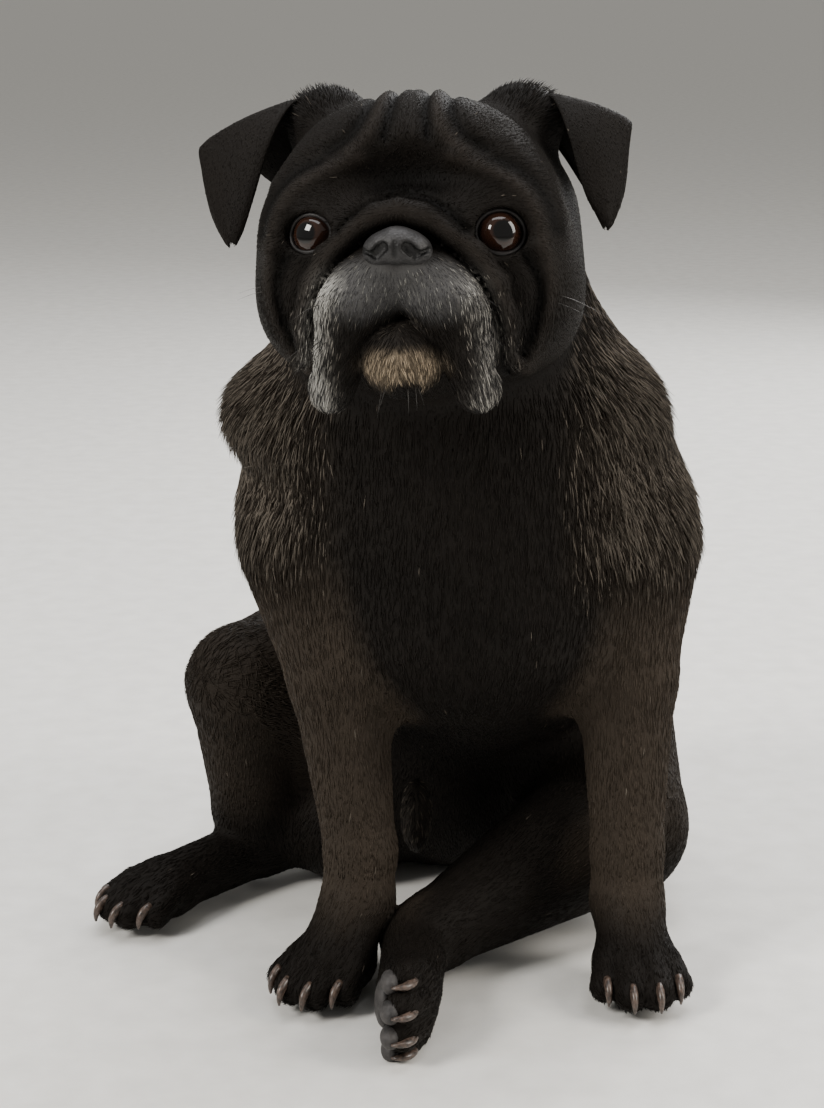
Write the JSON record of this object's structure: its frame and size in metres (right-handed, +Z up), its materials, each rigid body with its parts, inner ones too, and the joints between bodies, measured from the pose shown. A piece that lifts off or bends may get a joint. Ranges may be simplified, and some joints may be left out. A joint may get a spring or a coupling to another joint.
{
  "type": "dog figure",
  "caption": "Life-size still figure of a black pug that sits upright, with a folded face, button ears, a spread hind leg and a curled tail.",
  "frame": {"origin": "centre of the bounding box at the floor", "axes": "+Z up from the floor, -Y the way the dog faces, +X the dog's left"},
  "size_m": [0.2684, 0.323, 0.3796],
  "materials": {
    "coat": "short black hair, greyed on the muzzle and the neck",
    "nose": "matt pebbled nose leather",
    "eye": "wet and dark brown"
  },
  "bodies": {
    "root": {"forepaw_right": "coat", "forepaw_left": "coat", "hindpaw_right": "coat", "hindpaw_left": "coat", "foot_right": "coat", "foot_left": "coat", "shank_right": "coat", "shank_left": "coat", "thigh_right": "coat", "thigh_left": "coat", "foreleg_right": "coat", "foreleg_left": "coat", "neck": "coat", "torso": "coat", "tail": "coat", "eye_left": "eye", "eye_right": "eye", "nose": "nose", "lower_jaw": "coat", "ear_left": "coat", "ear_right": "coat", "face": "coat", "head": "coat"}
  },
  "joints": []
}
